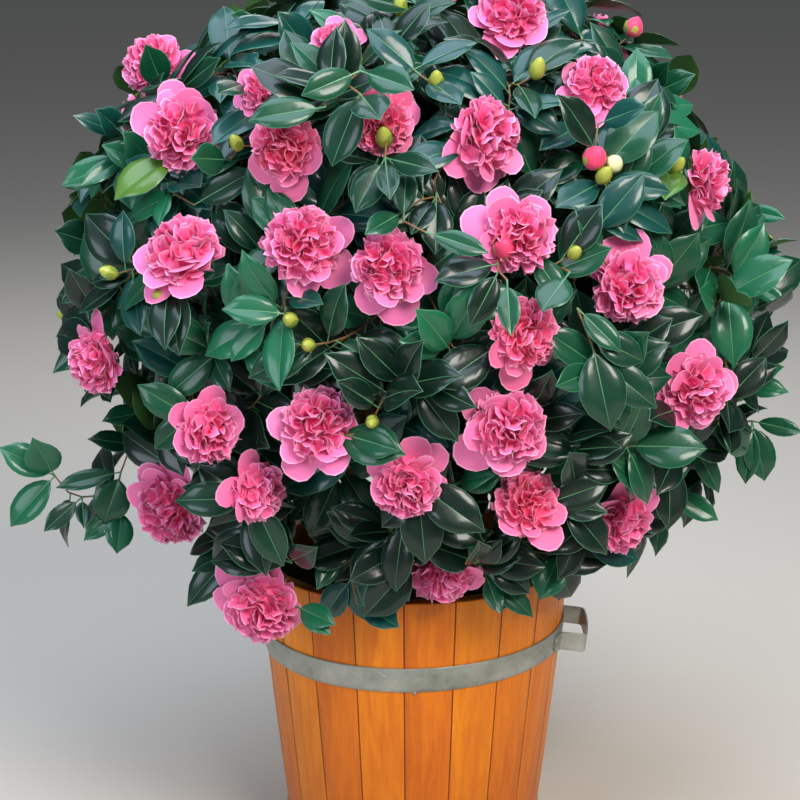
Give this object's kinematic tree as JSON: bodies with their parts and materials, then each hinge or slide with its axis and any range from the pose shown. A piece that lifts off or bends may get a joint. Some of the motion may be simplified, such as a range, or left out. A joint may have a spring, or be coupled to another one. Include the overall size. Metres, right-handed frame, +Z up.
{
  "type": "camellia shrub in a wooden tub",
  "caption": "Rounded evergreen camellia shrub with glossy leaves and pink double blooms, in a tapered wooden stave tub with steel hoops and a side handle.",
  "frame": {"origin": "centre of the tub's flat underside, on the surface it stands on", "axes": "+Z up the stem, -Y towards the side seen in the picture, +X towards the tub's handle"},
  "size_m": [0.8891, 0.8231, 1.0959],
  "materials": {
    "stave_wood": "satin",
    "galvanised_steel": "satin",
    "potting_soil": "matte",
    "bark": "matte",
    "foliage": "gloss",
    "petals": "satin"
  },
  "bodies": {
    "root": {"tub_stave_01": "stave_wood", "tub_stave_02": "stave_wood", "tub_stave_03": "stave_wood", "tub_stave_04": "stave_wood", "tub_stave_05": "stave_wood", "tub_stave_06": "stave_wood", "tub_stave_07": "stave_wood", "tub_stave_08": "stave_wood", "tub_stave_09": "stave_wood", "tub_stave_10": "stave_wood", "tub_stave_11": "stave_wood", "tub_stave_12": "stave_wood", "tub_stave_13": "stave_wood", "tub_stave_14": "stave_wood", "tub_stave_15": "stave_wood", "tub_stave_16": "stave_wood", "tub_stave_17": "stave_wood", "tub_stave_18": "stave_wood", "tub_stave_19": "stave_wood", "tub_stave_20": "stave_wood", "tub_board": "stave_wood", "hoop_upper": "galvanised_steel", "hoop_lower": "galvanised_steel", "handle": "galvanised_steel", "soil": "potting_soil", "stem": "bark", "bough_01": "bark", "bough_02": "bark", "bough_03": "bark", "bough_04": "bark", "bough_05": "bark", "bough_06": "bark", "bough_07": "bark", "bough_08": "bark", "bough_09": "bark", "bough_10": "bark", "bough_11": "bark", "bough_12": "bark", "bough_13": "bark", "bough_14": "bark", "bough_15": "bark", "bough_16": "bark", "foliage_01": "foliage", "foliage_02": "foliage", "foliage_03": "foliage", "foliage_04": "foliage", "foliage_05": "foliage", "foliage_06": "foliage", "foliage_07": "foliage", "foliage_08": "foliage", "foliage_09": "foliage", "foliage_10": "foliage", "foliage_11": "foliage", "foliage_12": "foliage", "foliage_13": "foliage", "foliage_14": "foliage", "foliage_15": "foliage", "foliage_16": "foliage"}
  },
  "joints": []
}
